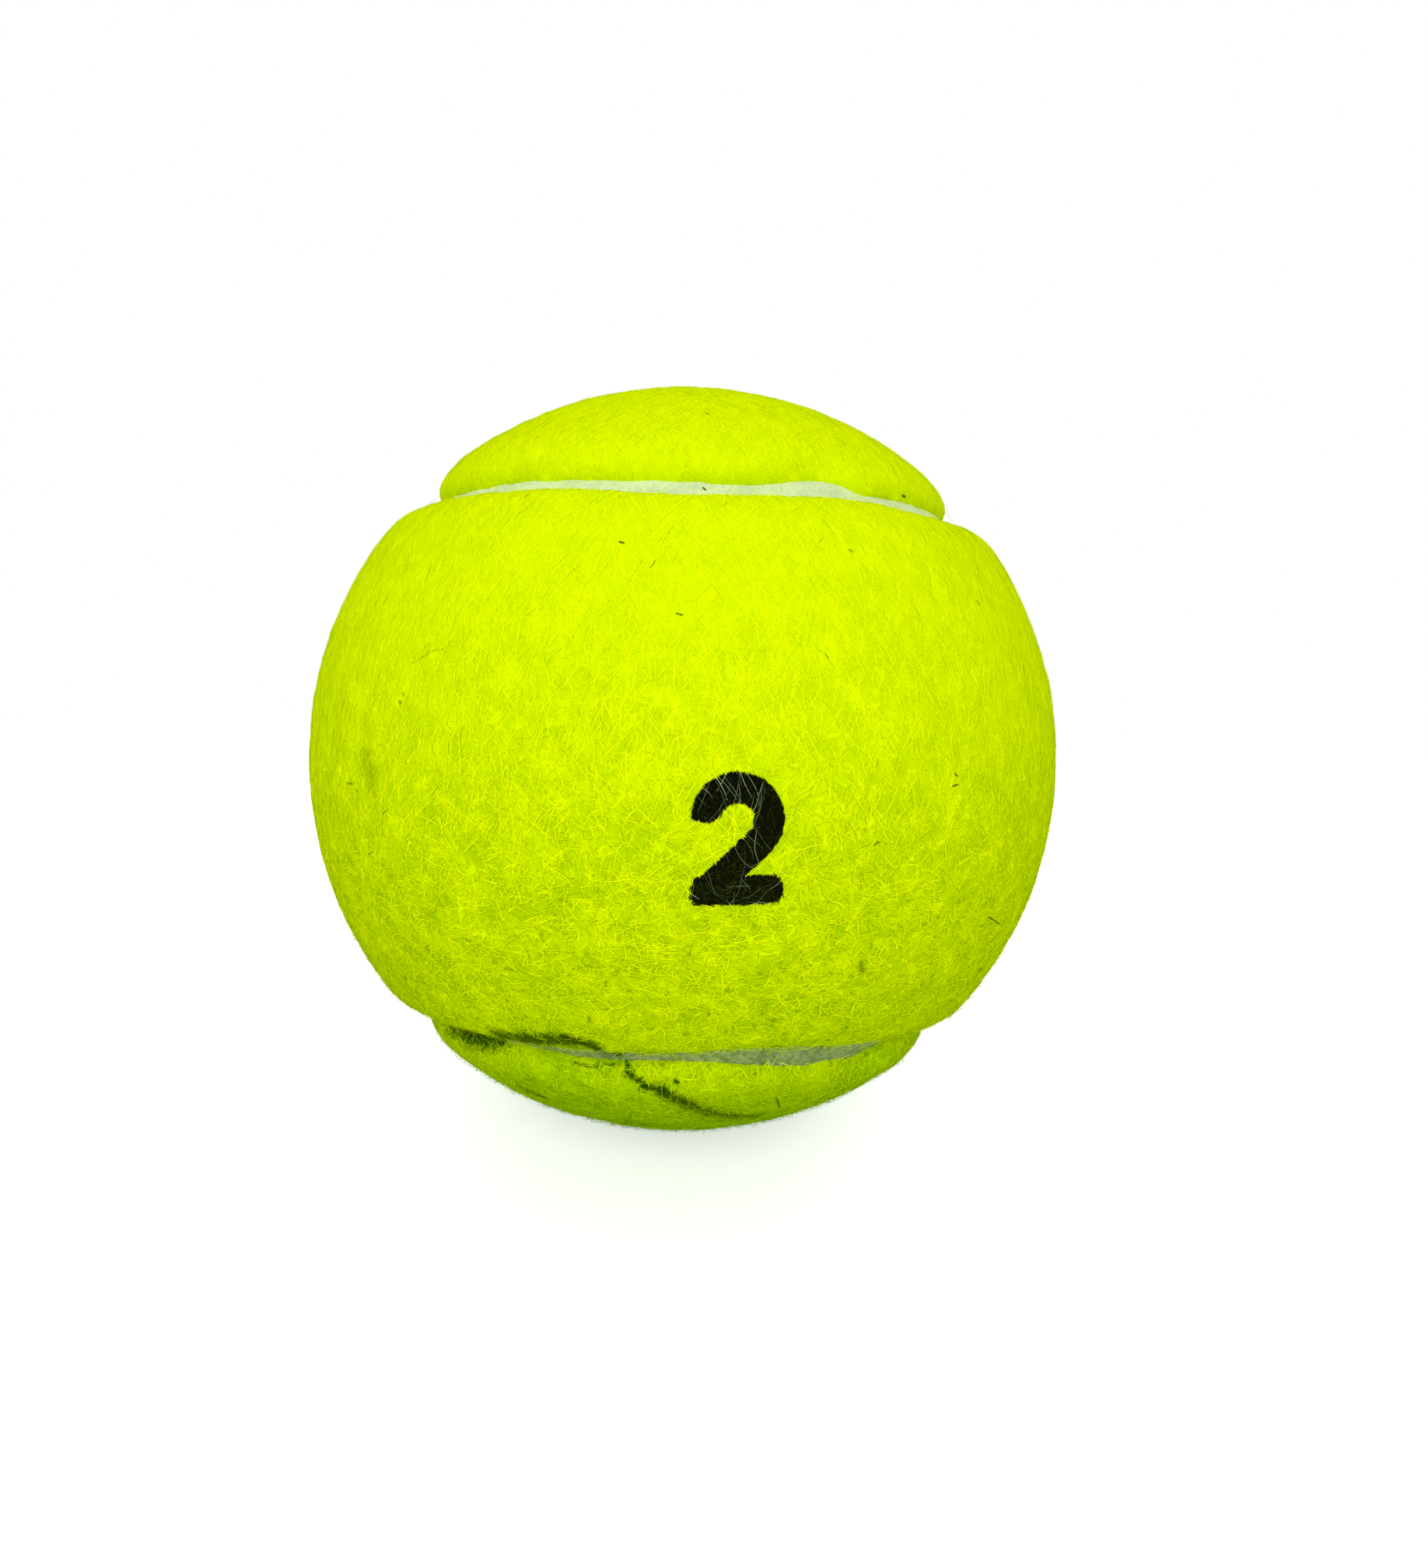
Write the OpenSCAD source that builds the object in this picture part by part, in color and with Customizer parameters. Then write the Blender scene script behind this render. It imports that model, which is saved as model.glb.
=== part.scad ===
// Pressurised tennis ball: two moulded rubber half shells cemented into a hollow core,
// and two interlocking dumbbell panels of napped cloth with a rubber seam between them.
// Origin at the centre of the ball. The front panel's waist faces -Y and its lobes lie
// towards +X and -X. The rear panel's waist faces +Y and its lobes lie towards +Z and -Z.

/* [Ball] */
// Diameter over the crown of the felt
ball_d = 66.8; // [65.4:0.1:68.6]

/* [Core] */
// Wall of the moulded rubber core
core_wall = 3.3; // [2.8:0.1:4.2]
// Cement between the rims of the two core halves
joint_t = 0.3; // [0.2:0.05:0.6]
// Radius of the cement bead squeezed out inside the joint
bead_r = 0.8; // [0.6:0.05:1.4]
// Chamfer trimmed round the outside of each core rim
rim_chamfer = 0.5; // [0.3:0.05:1]

/* [Cloth] */
// Cement coat between the core and the cloth
coat_t = 0.2; // [0.1:0.05:0.4]
// Woven base of the cloth
backing_t = 0.8; // [0.5:0.1:1.2]
// Raised nap above the woven base
nap_t = 2.4; // [2:0.1:3]
// Radius of the shoulder that rolls down to the seam
shoulder_r = 3.2; // [2.5:0.1:4.5]
// Drop of the shoulder from the crown to the cut edge
shoulder_drop = 1.1; // [0.7:0.1:1.4]

/* [Seam] */
// Width of the rubber seam between the two panels
seam_w = 1.8; // [1:0.1:2.4]
// Depth of the seam's surface below the crown of the felt
seam_sink = 1.6; // [1.4:0.1:1.9]
// Angle by which each panel's lobes lean away from its waist
lobe_tilt = 10; // [7:0.5:15]

/* [Hidden] */
$fn = 144;

// The layers from the crown inwards
ball_r = ball_d / 2;
nap_base_r = ball_r - nap_t;
backing_base_r = nap_base_r - backing_t;
core_r = backing_base_r - coat_t;
core_bore_r = core_r - core_wall;

// Cuts start at the core's bore and end well outside the ball
outside_share = 1.4;
inside_r = core_bore_r;
outside_r = outside_share * ball_r;
overrun = 1;

// Radius at which a core half's ground rim meets its outer face
rim_r = sqrt(pow(core_r, 2) - pow(joint_t / 2, 2));

// The seam is four equal arcs, each part of a circle round one lobe. They meet in the
// plane y = 0, halfway between a front lobe and a rear lobe, at 45 degrees from X. There
// a lobe's circle and the hollow's circle beside it cross the plane at one point, and
// the lobe is larger by a small angle, so that its face covers the waist's.
seam_r = ball_r - seam_sink;
axis_lean = atan(tan(lobe_tilt) * sqrt(2));
seam_half_angle = asin(seam_w / 2 / seam_r) / cos(axis_lean);
face_lap = 0.1;
lobe_edge = acos(cos(lobe_tilt) * cos(45 - seam_half_angle)) + face_lap;
hollow_edge = acos(cos(lobe_tilt) * sin(45 - seam_half_angle));

// The shoulder is an arc round a centre below the crown. Its start stands a little
// proud of the crown, so that it breaks through the crown's sphere at a clear angle.
cut_edge_r = ball_r - shoulder_drop;
lift_share = 0.017;
shoulder_lift = lift_share * shoulder_r;
shoulder_centre_r = ball_r - shoulder_r + shoulder_lift;
shoulder_lean = acos(
    (pow(shoulder_centre_r, 2) + pow(cut_edge_r, 2) - pow(shoulder_r, 2))
    / (2 * shoulder_centre_r * cut_edge_r)
);

// A point at radius r and angle a from a lobe's axis, in the half plane of that axis
function polar(r, a) = [r * sin(a), r * cos(a)];

// The places of the two lobes, with a lobe's axis on Z and the side away from the
// waist on X
module right_lobe() rotate([0, 0, lobe_tilt]) rotate([90, 0, 90]) children();
module left_lobe() rotate([0, 180, 0]) right_lobe() children();

// Turns the front panel's shape into the rear panel's
module rear() rotate(a = 180, v = [1, 0, 1]) children();

module shell(inner_r, outer_r) {
    rotate([0, 0, 90])
        difference() {
            sphere(outer_r);
            sphere(inner_r);
        }
}

// Outlines in the half plane of a lobe's axis
module wedge_outline(from, to) {
    polygon([
        polar(inside_r, from), polar(outside_r, from),
        polar(outside_r, to), polar(inside_r, to)
    ]);
}

module plain_lobe_outline() {
    wedge_outline(0, lobe_edge);
}

module plain_hollow_outline() {
    wedge_outline(0, hollow_edge);
}

module shouldered_lobe_outline() {
    wedge_outline(0, lobe_edge - shoulder_lean);
    intersection() {
        wedge_outline(0, lobe_edge);
        translate(polar(shoulder_centre_r, lobe_edge - shoulder_lean))
            circle(shoulder_r);
    }
}

module shouldered_hollow_outline() {
    difference() {
        wedge_outline(0, hollow_edge + shoulder_lean);
        intersection() {
            wedge_outline(hollow_edge, hollow_edge + 2 * shoulder_lean);
            translate(polar(shoulder_centre_r, hollow_edge + shoulder_lean))
                circle(shoulder_r);
        }
    }
}

// The half of space in front of the plane y = 0, or behind it
module front_half() {
    translate([-outside_r, -2 * outside_r, -outside_r])
        cube(2 * outside_r);
}

module rear_half() {
    mirror([0, 1, 0]) front_half();
}

// One dumbbell panel between two radii. In front it is what the other panel's lobes
// leave, and behind it is this panel's own two lobes. The first child is the outline of
// a lobe, and the second the outline of a hollow.
module panel(inner_r, outer_r) {
    difference() {
        intersection() {
            shell(inner_r, outer_r);
            front_half();
        }
        rear() right_lobe() rotate_extrude() children(1);
        rear() left_lobe() rotate_extrude() children(1);
    }
    intersection() {
        shell(inner_r, outer_r);
        rear_half();
        right_lobe() rotate_extrude() children(0);
    }
    intersection() {
        shell(inner_r, outer_r);
        rear_half();
        left_lobe() rotate_extrude() children(0);
    }
}

module plain_panel(inner_r, outer_r) {
    panel(inner_r, outer_r) {
        plain_lobe_outline();
        plain_hollow_outline();
    }
}

module shouldered_panel(inner_r, outer_r) {
    panel(inner_r, outer_r) {
        shouldered_lobe_outline();
        shouldered_hollow_outline();
    }
}

// Hemisphere of the core with its rim ground flat and its outer corner trimmed
module core_half() {
    rotate([90, 0, 0])
        difference() {
            shell(core_bore_r, core_r);
            translate([-outside_r, -outside_r, joint_t / 2 - 2 * outside_r])
                cube(2 * outside_r);
            translate([0, 0, joint_t / 2])
                rotate_extrude()
                    polygon([
                        [rim_r - rim_chamfer, 0],
                        [rim_r - rim_chamfer, -overrun],
                        [rim_r + overrun, -overrun],
                        [rim_r + overrun, rim_chamfer + overrun]
                    ]);
        }
}

module core_half_front() {
    color([0.23, 0.23, 0.22]) core_half();
}

module core_half_rear() {
    color([0.27, 0.27, 0.26]) mirror([0, 1, 0]) core_half();
}

// Cement that joins the two rims: a thin disc, a fillet in the trimmed corners outside
// and the bead that is squeezed out inside
module core_joint_cement() {
    color([0.62, 0.50, 0.30])
    rotate([90, 0, 0]) {
        intersection() {
            sphere(core_r);
            rotate_extrude()
                polygon([
                    [core_bore_r - bead_r / 2, -joint_t / 2],
                    [rim_r - rim_chamfer, -joint_t / 2],
                    [rim_r + overrun, -joint_t / 2 - rim_chamfer - overrun],
                    [rim_r + overrun, joint_t / 2 + rim_chamfer + overrun],
                    [rim_r - rim_chamfer, joint_t / 2],
                    [core_bore_r - bead_r / 2, joint_t / 2]
                ]);
        }
        intersection() {
            sphere(core_bore_r);
            rotate_extrude()
                translate([core_bore_r, 0])
                    circle(bead_r);
        }
    }
}

module core_cement_coat() {
    color([0.80, 0.74, 0.55]) shell(core_r, backing_base_r);
}

module felt_backing_front() {
    color([0.78, 0.84, 0.52]) plain_panel(backing_base_r, nap_base_r);
}

module felt_backing_rear() {
    color([0.74, 0.80, 0.48])
        rear() plain_panel(backing_base_r, nap_base_r);
}

module felt_nap_front() {
    color([0.84, 0.95, 0.06])
        shouldered_panel(nap_base_r, ball_r);
}

module felt_nap_rear() {
    color([0.80, 0.91, 0.05])
        rear() shouldered_panel(nap_base_r, ball_r);
}

// Rubber that fills the gap between the panels' cut edges. Its four arcs, each half a
// ring round a lobe, join into one closed loop.
module seam_ring() {
    rotate_extrude()
        polygon([
            polar(core_r, lobe_edge), polar(seam_r, lobe_edge),
            polar(seam_r, hollow_edge), polar(core_r, hollow_edge)
        ]);
}

module seam_rubber() {
    color([0.76, 0.83, 0.56])
    difference() {
        union() {
            intersection() {
                front_half();
                rear() {
                    right_lobe() seam_ring();
                    left_lobe() seam_ring();
                }
            }
            intersection() {
                rear_half();
                union() {
                    right_lobe() seam_ring();
                    left_lobe() seam_ring();
                }
            }
        }
        sphere(backing_base_r);
    }
}

core_half_front();
core_half_rear();
core_joint_cement();
core_cement_coat();
felt_backing_front();
felt_backing_rear();
felt_nap_front();
felt_nap_rear();
seam_rubber();
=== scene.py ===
import math

import bmesh
import bpy
from mathutils import Matrix, Vector
from mathutils.bvhtree import BVHTree


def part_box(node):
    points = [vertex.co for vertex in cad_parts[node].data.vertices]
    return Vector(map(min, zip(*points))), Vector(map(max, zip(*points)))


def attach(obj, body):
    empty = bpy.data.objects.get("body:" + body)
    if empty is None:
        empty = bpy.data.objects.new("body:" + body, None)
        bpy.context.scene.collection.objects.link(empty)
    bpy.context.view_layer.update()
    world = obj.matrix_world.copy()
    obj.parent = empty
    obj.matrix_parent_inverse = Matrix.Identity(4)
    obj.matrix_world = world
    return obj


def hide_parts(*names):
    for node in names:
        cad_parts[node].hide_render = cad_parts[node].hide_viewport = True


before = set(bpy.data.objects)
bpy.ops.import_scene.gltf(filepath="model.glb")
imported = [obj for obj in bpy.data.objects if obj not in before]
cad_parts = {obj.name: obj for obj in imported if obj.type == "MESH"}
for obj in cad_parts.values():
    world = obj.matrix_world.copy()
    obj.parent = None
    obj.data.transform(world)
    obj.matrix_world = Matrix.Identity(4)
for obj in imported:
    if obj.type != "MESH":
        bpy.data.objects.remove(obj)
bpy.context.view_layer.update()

# The ball's own radius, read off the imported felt. The front panel's lobes point along
# X, so the panel is widest there.
mm = 0.001
crown_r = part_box("felt_nap_front")[1].x

# The camera stands close to the ball, a little above its middle and a little towards
# -X, and is rolled slightly.
photo_w, photo_h = 1836, 2016
ball_px = Vector((878, 975))
ball_outline_px = 479
camera_distance = 2.06 * crown_r
camera_turn = math.radians(1.957)
camera_raise = math.radians(2.721)
camera_roll = math.radians(1.675)
sensor_w = 36

focal_px = ball_outline_px * math.sqrt((camera_distance / crown_r) ** 2 - 1)
to_camera = (
    Matrix.Rotation(camera_roll, 3, "Y")
    @ Matrix.Rotation(camera_raise, 3, "X")
    @ Matrix.Rotation(camera_turn, 3, "Z")
)
from_camera = to_camera.transposed()
right, ahead, up = (from_camera @ Vector(axis) for axis in ((1, 0, 0), (0, 1, 0), (0, 0, 1)))
eye = -ahead * camera_distance


def new_object(name, data):
    """An object of the scene, at the origin."""
    made = bpy.data.objects.new(name, data)
    bpy.context.scene.collection.objects.link(made)
    return made


camera_data = bpy.data.cameras.new("Camera")
camera_data.sensor_fit = "AUTO"
camera_data.sensor_width = sensor_w
camera_data.lens = sensor_w * focal_px / photo_h
camera_data.shift_x = (photo_w / 2 - ball_px.x) / photo_h
camera_data.shift_y = (ball_px.y - photo_h / 2) / photo_h
camera_data.clip_start = 1 * mm
camera = new_object("Camera", camera_data)
camera.matrix_world = Matrix.Translation(eye) @ Matrix((right, up, -ahead)).transposed().to_4x4()
bpy.context.scene.camera = camera


def on_ball(x, y, radius=crown_r):
    """The point of the ball, at this radius, that shows at a pixel of the photograph."""
    ray = (ahead + ((x - ball_px.x) * right - (y - ball_px.y) * up) / focal_px).normalized()
    near = -ray.dot(eye)
    return eye + ray * (near - math.sqrt(near * near - eye.length_squared + radius * radius))


# The core is two moulded half shells of black rubber, matt from the mould release and
# ground at the rim. Rubber dust and flow marks break up the surface.
rubber_black = (0.018, 0.018, 0.017, 1)
rubber_dusty = (0.06, 0.058, 0.052, 1)
rubber_grain_per_m = 1800.0
rubber_grain_depth = 0.05 * mm


def add_node(tree, kind, inputs=(), **settings):
    """A new node with its settings, and its inputs linked or set by name or number."""
    made = tree.nodes.new(kind)
    for name, value in settings.items():
        setattr(made, name, value)
    for key, value in dict(inputs).items():
        if isinstance(value, bpy.types.NodeSocket):
            tree.links.new(value, made.inputs[key])
        else:
            made.inputs[key].default_value = value
    return made


def number(tree, operation, *values):
    """The result of a Math node."""
    return add_node(tree, "ShaderNodeMath", enumerate(values), operation=operation).outputs[0]


def ramp(tree, value, low, high, start=0.0, end=1.0):
    """A smooth step from start to end as the value goes from low to high."""
    inputs = {"Value": value, "From Min": low, "From Max": high, "To Min": start, "To Max": end}
    return add_node(tree, "ShaderNodeMapRange", inputs, interpolation_type="SMOOTHSTEP").outputs[0]


def mixed(tree, factor, first, second, blend="MIX"):
    """Two colours mixed by a mask."""
    made = add_node(tree, "ShaderNodeMix", {0: factor, 6: first, 7: second}, data_type="RGBA")
    made.blend_type = blend
    return made.outputs[2]


def noise(tree, place, scale, detail, distortion=0.0, roughness=0.5):
    """A soft random mask in space."""
    inputs = {
        "Vector": place,
        "Scale": scale,
        "Detail": detail,
        "Roughness": roughness,
        "Distortion": distortion,
    }
    return add_node(tree, "ShaderNodeTexNoise", inputs).outputs["Fac"]


def new_group(name, kind, inputs, outputs):
    """An empty node group with named sockets, and its input and output nodes."""
    tree = bpy.data.node_groups.new(name, kind)
    for way, sockets in (("INPUT", inputs), ("OUTPUT", outputs)):
        for label, socket, *default in sockets:
            made = tree.interface.new_socket(label, in_out=way, socket_type="NodeSocket" + socket)
            if default:
                made.default_value = default[0]
    return tree, tree.nodes.new("NodeGroupInput").outputs, tree.nodes.new("NodeGroupOutput").inputs


def grouped(tree, group, inputs):
    """A node group's outputs, placed in a material or a geometry tree."""
    kind = "ShaderNodeGroup" if tree.bl_idname == "ShaderNodeTree" else "GeometryNodeGroup"
    return add_node(tree, kind, inputs, node_tree=group).outputs


def new_material(name, roughness, specular):
    """A material with its tree, its Principled shader and the place on the piece."""
    material = bpy.data.materials.new(name)
    material.use_nodes = True
    tree = material.node_tree
    shader = tree.nodes["Principled BSDF"]
    shader.inputs["Roughness"].default_value = roughness
    shader.inputs["Specular IOR Level"].default_value = specular
    place = tree.nodes.new("ShaderNodeTexCoord").outputs["Object"]
    return material, tree, shader, place


def finish_surface(tree, shader, colour, height, depth, strength=1.0):
    """Gives the shader its colour, and a bump of this depth from a height mask."""
    tree.links.new(colour, shader.inputs["Base Color"])
    bump = add_node(tree, "ShaderNodeBump", {"Height": height, "Strength": strength})
    bump.inputs["Distance"].default_value = depth
    tree.links.new(bump.outputs["Normal"], shader.inputs["Normal"])


def dress(node, material):
    """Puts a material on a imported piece."""
    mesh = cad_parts[node].data
    mesh.materials.clear()
    mesh.materials.append(material)


broad_share = 0.12
speckle, given, out = new_group(
    "Grain",
    "ShaderNodeTree",
    [("Vector", "Vector"), ("Scale", "Float")],
    [("Fine", "Float"), ("Broad", "Float")],
)
speckle.links.new(noise(speckle, given["Vector"], given["Scale"], 3.0), out["Fine"])
broad_scale = number(speckle, "MULTIPLY", given["Scale"], broad_share)
speckle.links.new(noise(speckle, given["Vector"], broad_scale, 2.0), out["Broad"])

rubber, tree, shader, place = new_material("core_rubber", roughness=0.62, specular=0.4)
grain = grouped(tree, speckle, {"Vector": place, "Scale": rubber_grain_per_m})
dusty = mixed(tree, ramp(tree, grain["Broad"], 0.45, 0.7), rubber_black, rubber_dusty)
finish_surface(tree, shader, dusty, grain["Fine"], rubber_grain_depth)
for node in ("core_half_front", "core_half_rear"):
    dress(node, rubber)

# Cement holds the two rims together and coats the whole core under the cloth. It is
# rubber solution, brushed on and dried to an amber skin with brush marks.
cement_thin = (0.42, 0.31, 0.13, 1)
cement_thick = (0.25, 0.16, 0.05, 1)
cement_grain_per_m = 700.0
brush_marks_per_m = 220.0
brush_stretch = (1.0, 6.0, 1.0)
brush_depth = 0.08 * mm


def vector(tree, operation, *values):
    """The result of a Vector Math node."""
    made = add_node(tree, "ShaderNodeVectorMath", enumerate(values), operation=operation)
    plain = operation in ("DOT_PRODUCT", "LENGTH", "DISTANCE")
    return made.outputs["Value" if plain else "Vector"]


cement, tree, shader, place = new_material("cement", roughness=0.38, specular=0.5)
grain = grouped(tree, speckle, {"Vector": place, "Scale": cement_grain_per_m})
stretched = vector(tree, "MULTIPLY", place, brush_stretch)
brushed = noise(tree, stretched, brush_marks_per_m, 3.0)
thick = ramp(tree, number(tree, "ADD", brushed, grain["Broad"]), 0.8, 1.2)
colour = mixed(tree, thick, cement_thin, cement_thick)
finish_surface(tree, shader, colour, brushed, brush_depth)
for node in ("core_joint_cement", "core_cement_coat"):
    dress(node, cement)

# The cloth's base is a plain weave of cotton, dyed with the nap and soaked in cement.
# Its threads run in two directions, about one every third of a millimetre.
thread_light = (0.52, 0.62, 0.16, 1)
thread_dark = (0.22, 0.28, 0.04, 1)
threads_per_m = 2900.0
thread_depth = 0.12 * mm


def parts_of(tree, value):
    """A vector's three numbers, by axis."""
    return add_node(tree, "ShaderNodeSeparateXYZ", {0: value}).outputs


backing, tree, shader, place = new_material("backing_cloth", roughness=0.85, specular=0.2)
axes = parts_of(tree, place)
warp, weft = (
    number(tree, "SINE", number(tree, "MULTIPLY", axes[axis], threads_per_m * math.pi))
    for axis in ("X", "Z")
)
woven = ramp(tree, number(tree, "MULTIPLY", warp, weft), -0.8, 0.8)
colour = mixed(tree, woven, thread_dark, thread_light)
finish_surface(tree, shader, colour, woven, thread_depth)
for node in ("felt_backing_front", "felt_backing_rear"):
    dress(node, backing)

# The seam's curve: four equal arcs, each part of a circle round one lobe of a panel.
# The rear panel's lobes reach forward over the top and the bottom, and the front
# panel's reach back over the two sides. Both lean towards the other panel's waist.
lobe_tilt = math.radians(10)
seam_angle = math.acos(math.cos(lobe_tilt) * math.cos(math.radians(45)))
seam_sink = 1.6 * mm
seam_r = crown_r - seam_sink
arc_points = 180

to_rear = Matrix.Rotation(math.pi, 3, Vector((1, 0, 1)).normalized())
half_turn = Matrix.Rotation(math.pi, 3, "Y")


def seam_loop():
    """Directions from the ball's centre to the middle of the seam, once round."""
    lobe = Vector((0, -math.sin(lobe_tilt), math.cos(lobe_tilt)))
    forward = Vector((0, -math.cos(lobe_tilt), -math.sin(lobe_tilt)))
    swing = math.acos(-math.tan(lobe_tilt) / math.tan(seam_angle))
    arc = []
    for i in range(arc_points + 1):
        a = swing * (2 * i / arc_points - 1)
        round_lobe = Vector((math.sin(a), 0, 0)) + math.cos(a) * forward
        arc.append(math.cos(seam_angle) * lobe + math.sin(seam_angle) * round_lobe)
    half = arc[:-1] + [to_rear @ p for p in reversed(arc)][:-1]
    return half + [half_turn @ p for p in half]


def between(tree, factor, first, second):
    """A number that goes from the first to the second by a mask."""
    return add_node(tree, "ShaderNodeMix", {0: factor, 2: first, 3: second}).outputs[0]


seam_gap, given, out = new_group(
    "Distance from seam",
    "GeometryNodeTree",
    [("Position", "Vector")],
    [("Distance", "Float"), ("Direction", "Vector")],
)
direction = vector(seam_gap, "NORMALIZE", given["Position"])
part = parts_of(seam_gap, direction)
from_lobe = {}
for axis, sign in (("Z", -1), ("X", 1)):
    sideways = number(seam_gap, "ABSOLUTE", part[axis])
    sideways = number(seam_gap, "MULTIPLY", sideways, math.cos(lobe_tilt))
    leaning = number(seam_gap, "MULTIPLY", part["Y"], sign * math.sin(lobe_tilt))
    angle = number(seam_gap, "ARCCOSINE", number(seam_gap, "ADD", sideways, leaning))
    from_lobe[axis] = number(seam_gap, "SUBTRACT", angle, seam_angle)
behind = ramp(seam_gap, part["Y"], -0.25, 0.25)
rear_side = number(seam_gap, "MULTIPLY", from_lobe["X"], -1.0)
turned = between(seam_gap, behind, from_lobe["Z"], rear_side)
seam_gap.links.new(number(seam_gap, "MULTIPLY", turned, seam_r), out["Distance"])
seam_gap.links.new(direction, out["Direction"])

# The seam itself is one strip of pale rubber, vulcanised between the cloths' cut edges.
# It sits in the bottom of the groove, is a little uneven, swells out low on the right of
# the photograph and stays matt.
strip_w = 5.0 * mm
strip_depth = 1.5 * mm
strip_section_points = 30
strip_waves_per_m = 420.0
strip_unevenness = 0.35 * mm
swollen_px = (1030, 1354)
swollen_w = 9.0 * mm
swelling = 0.5 * mm
seam_pale = (0.61, 0.71, 0.36, 1)
seam_grey = (0.47, 0.58, 0.29, 1)
seam_grain_per_m = 5200.0
seam_grain_depth = 0.06 * mm


def scaled(tree, value, factor):
    """A vector times a number."""
    made = add_node(tree, "ShaderNodeVectorMath", {0: value, "Scale": factor}, operation="SCALE")
    return made.outputs["Vector"]


def centred(tree, mask):
    """A mask shifted so that it swings about zero."""
    return number(tree, "SUBTRACT", mask, 0.5)


def new_tree(name, inputs):
    """A geometry tree that takes and gives geometry, with more named inputs."""
    sockets = [("Geometry", "Geometry")] + inputs
    return new_group(name, "GeometryNodeTree", sockets, [("Geometry", "Geometry")])


def finish_tree(tree, geometry, given, out):
    """Makes a tree's geometry real and gives it its material."""
    real = add_node(tree, "GeometryNodeRealizeInstances", {0: geometry})
    inputs = {0: real.outputs[0], "Material": given["Material"]}
    done = add_node(tree, "GeometryNodeSetMaterial", inputs)
    tree.links.new(done.outputs[0], out["Geometry"])


def grown(name, source, tree, values):
    """The plain mesh that a tree makes from a source object, as a new piece."""
    modifier = source.modifiers.new(name, "NODES")
    modifier.node_group = tree
    for label, value in values.items():
        socket = tree.interface.items_tree[label]
        modifier[socket.identifier] = value
    depsgraph = bpy.context.evaluated_depsgraph_get()
    mesh = bpy.data.meshes.new_from_object(source.evaluated_get(depsgraph))
    source.modifiers.remove(modifier)
    mesh.name = name
    return new_object(name, mesh)


# The court's dirt lies on the seam and the felt alike, and is drawn once both are made, together
# with the felt's painted shade low on the ball and in the gaps of the nap
dirt_and_shade, dirt_and_shade_given, dirt_and_shade_out = new_group(
    "Court dirt and painted shade",
    "ShaderNodeTree",
    [("Vector", "Vector")],
    [("Dirt", "Float"), ("Grime", "Float"), ("Gaps", "Float")],
)
dirt_thin = (0.04, 0.15, 0.0, 1)
dirt_thick = (0.003, 0.009, 0.001, 1)
dirt_cover = 1.8
# Painted shade on the lower seam, in two tints mixed by a speckle
seam_shade_tint = (0.58, 0.61, 0.40, 1)
seam_deep_shade_tint = (0.34, 0.37, 0.18, 1)
seam_shade_speckles_per_m = 2200.0
seam_shade_top_z = -18 * mm


def dirtied(tree, dirt, colour):
    """A colour under dirt that is green where it is thin and black where it is thick."""
    dirty = mixed(tree, number(tree, "MULTIPLY", dirt, dirt), dirt_thin, dirt_thick)
    return mixed(tree, number(tree, "MULTIPLY", dirt, dirt_cover), colour, dirty)


seam_material, tree, shader, place = new_material("seam_rubber", roughness=0.7, specular=0.2)
grain = grouped(tree, speckle, {"Vector": place, "Scale": seam_grain_per_m})
blotched = number(tree, "MULTIPLY", grain["Broad"], 0.4)
blotched = number(tree, "MULTIPLY_ADD", grain["Fine"], 0.6, blotched)
colour = mixed(tree, ramp(tree, blotched, 0.36, 0.60), seam_grey, seam_pale)
soil_and_shade = grouped(tree, dirt_and_shade, {"Vector": place})
# Painted shade: the seam darker and speckled towards the bottom of the ball
upward = parts_of(tree, place)["Z"]
shade_speckle = ramp(tree, noise(tree, place, seam_shade_speckles_per_m, 3.0), 0.38, 0.62)
shaded_low = mixed(tree, 1.0, colour, mixed(tree, shade_speckle, seam_shade_tint, seam_deep_shade_tint), "MULTIPLY")
colour = mixed(tree, ramp(tree, upward, seam_shade_top_z, 0.0, 1.0, 0.0), colour, shaded_low)
colour = dirtied(tree, soil_and_shade["Dirt"], colour)
finish_surface(tree, shader, colour, grain["Fine"], seam_grain_depth, 0.7)

strip, given, out = new_tree(
    "Seam strip",
    [
        ("Width", "Float"),
        ("Depth", "Float"),
        ("Unevenness", "Float"),
        ("Swelling", "Float"),
        ("Material", "Material"),
    ],
)
section = add_node(
    strip,
    "GeometryNodeCurvePrimitiveQuadrilateral",
    {"Width": given["Depth"], "Height": given["Width"]},
)
section = add_node(
    strip,
    "GeometryNodeResampleCurve",
    {0: section.outputs[0], "Count": strip_section_points},
)
here = strip.nodes.new("GeometryNodeInputPosition").outputs[0]
upright = vector(strip, "NORMALIZE", here)
path = add_node(strip, "GeometryNodeMeshToCurve", {0: given["Geometry"]}).outputs[0]
path = add_node(strip, "GeometryNodeSetCurveNormal", {0: path, "Normal": upright}, mode="FREE")
swept = add_node(strip, "GeometryNodeCurveToMesh", {0: path.outputs[0], 1: section.outputs[0]})
waves = centred(strip, noise(strip, here, strip_waves_per_m, 2.0))
swollen_at = tuple(on_ball(*swollen_px, seam_r))
off = vector(strip, "DISTANCE", scaled(strip, upright, seam_r), swollen_at)
swollen = number(strip, "MULTIPLY", ramp(strip, off, 0.0, swollen_w, 1.0, 0.0), given["Swelling"])
pushed = scaled(strip, upright, number(strip, "MULTIPLY_ADD", waves, given["Unevenness"], swollen))
moved = add_node(strip, "GeometryNodeSetPosition", {0: swept.outputs[0], "Offset": pushed})
smooth = add_node(strip, "GeometryNodeSetShadeSmooth", {0: moved.outputs[0]})
finish_tree(strip, smooth.outputs[0], given, out)

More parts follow.
